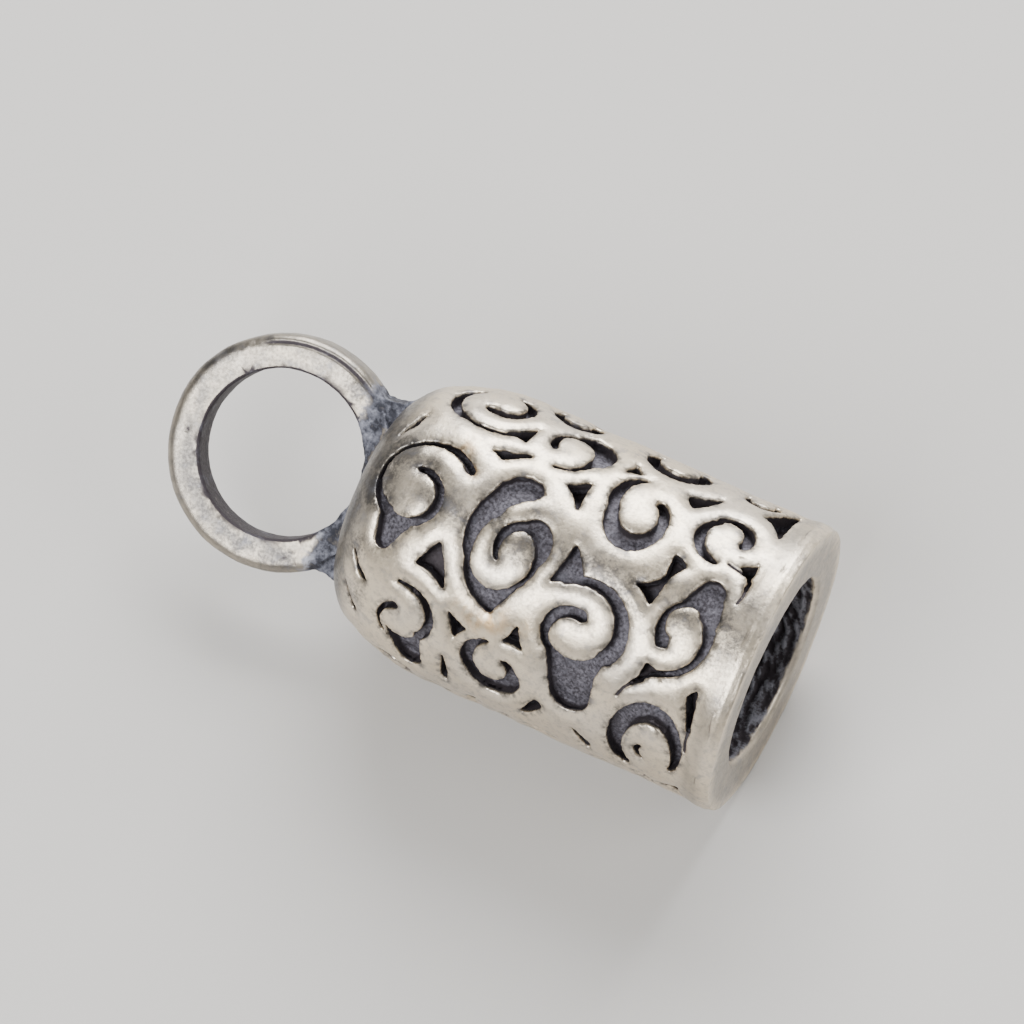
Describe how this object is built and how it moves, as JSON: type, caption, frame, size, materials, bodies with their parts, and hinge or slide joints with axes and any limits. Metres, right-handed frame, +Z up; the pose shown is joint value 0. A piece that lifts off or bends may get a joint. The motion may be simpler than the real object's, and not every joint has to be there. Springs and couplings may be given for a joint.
{
  "type": "cord end cap",
  "caption": "Domed metal end cap for a thick cord, with carved scrolls round the barrel, a blind bore and a flat ring soldered on the dome.",
  "frame": {"origin": "on the surface it lies on, below the middle of its overall length, under the barrel's axis", "axes": "+X along the barrel from the ring to the mouth, +Z up; the ring's face looks up and towards -Y"},
  "size_m": [0.0166, 0.0076, 0.0076],
  "materials": {
    "antiqued_silver": "satin silver with dark oxidised hollows"
  },
  "bodies": {
    "root": {"end_cap": "antiqued_silver"}
  },
  "joints": []
}
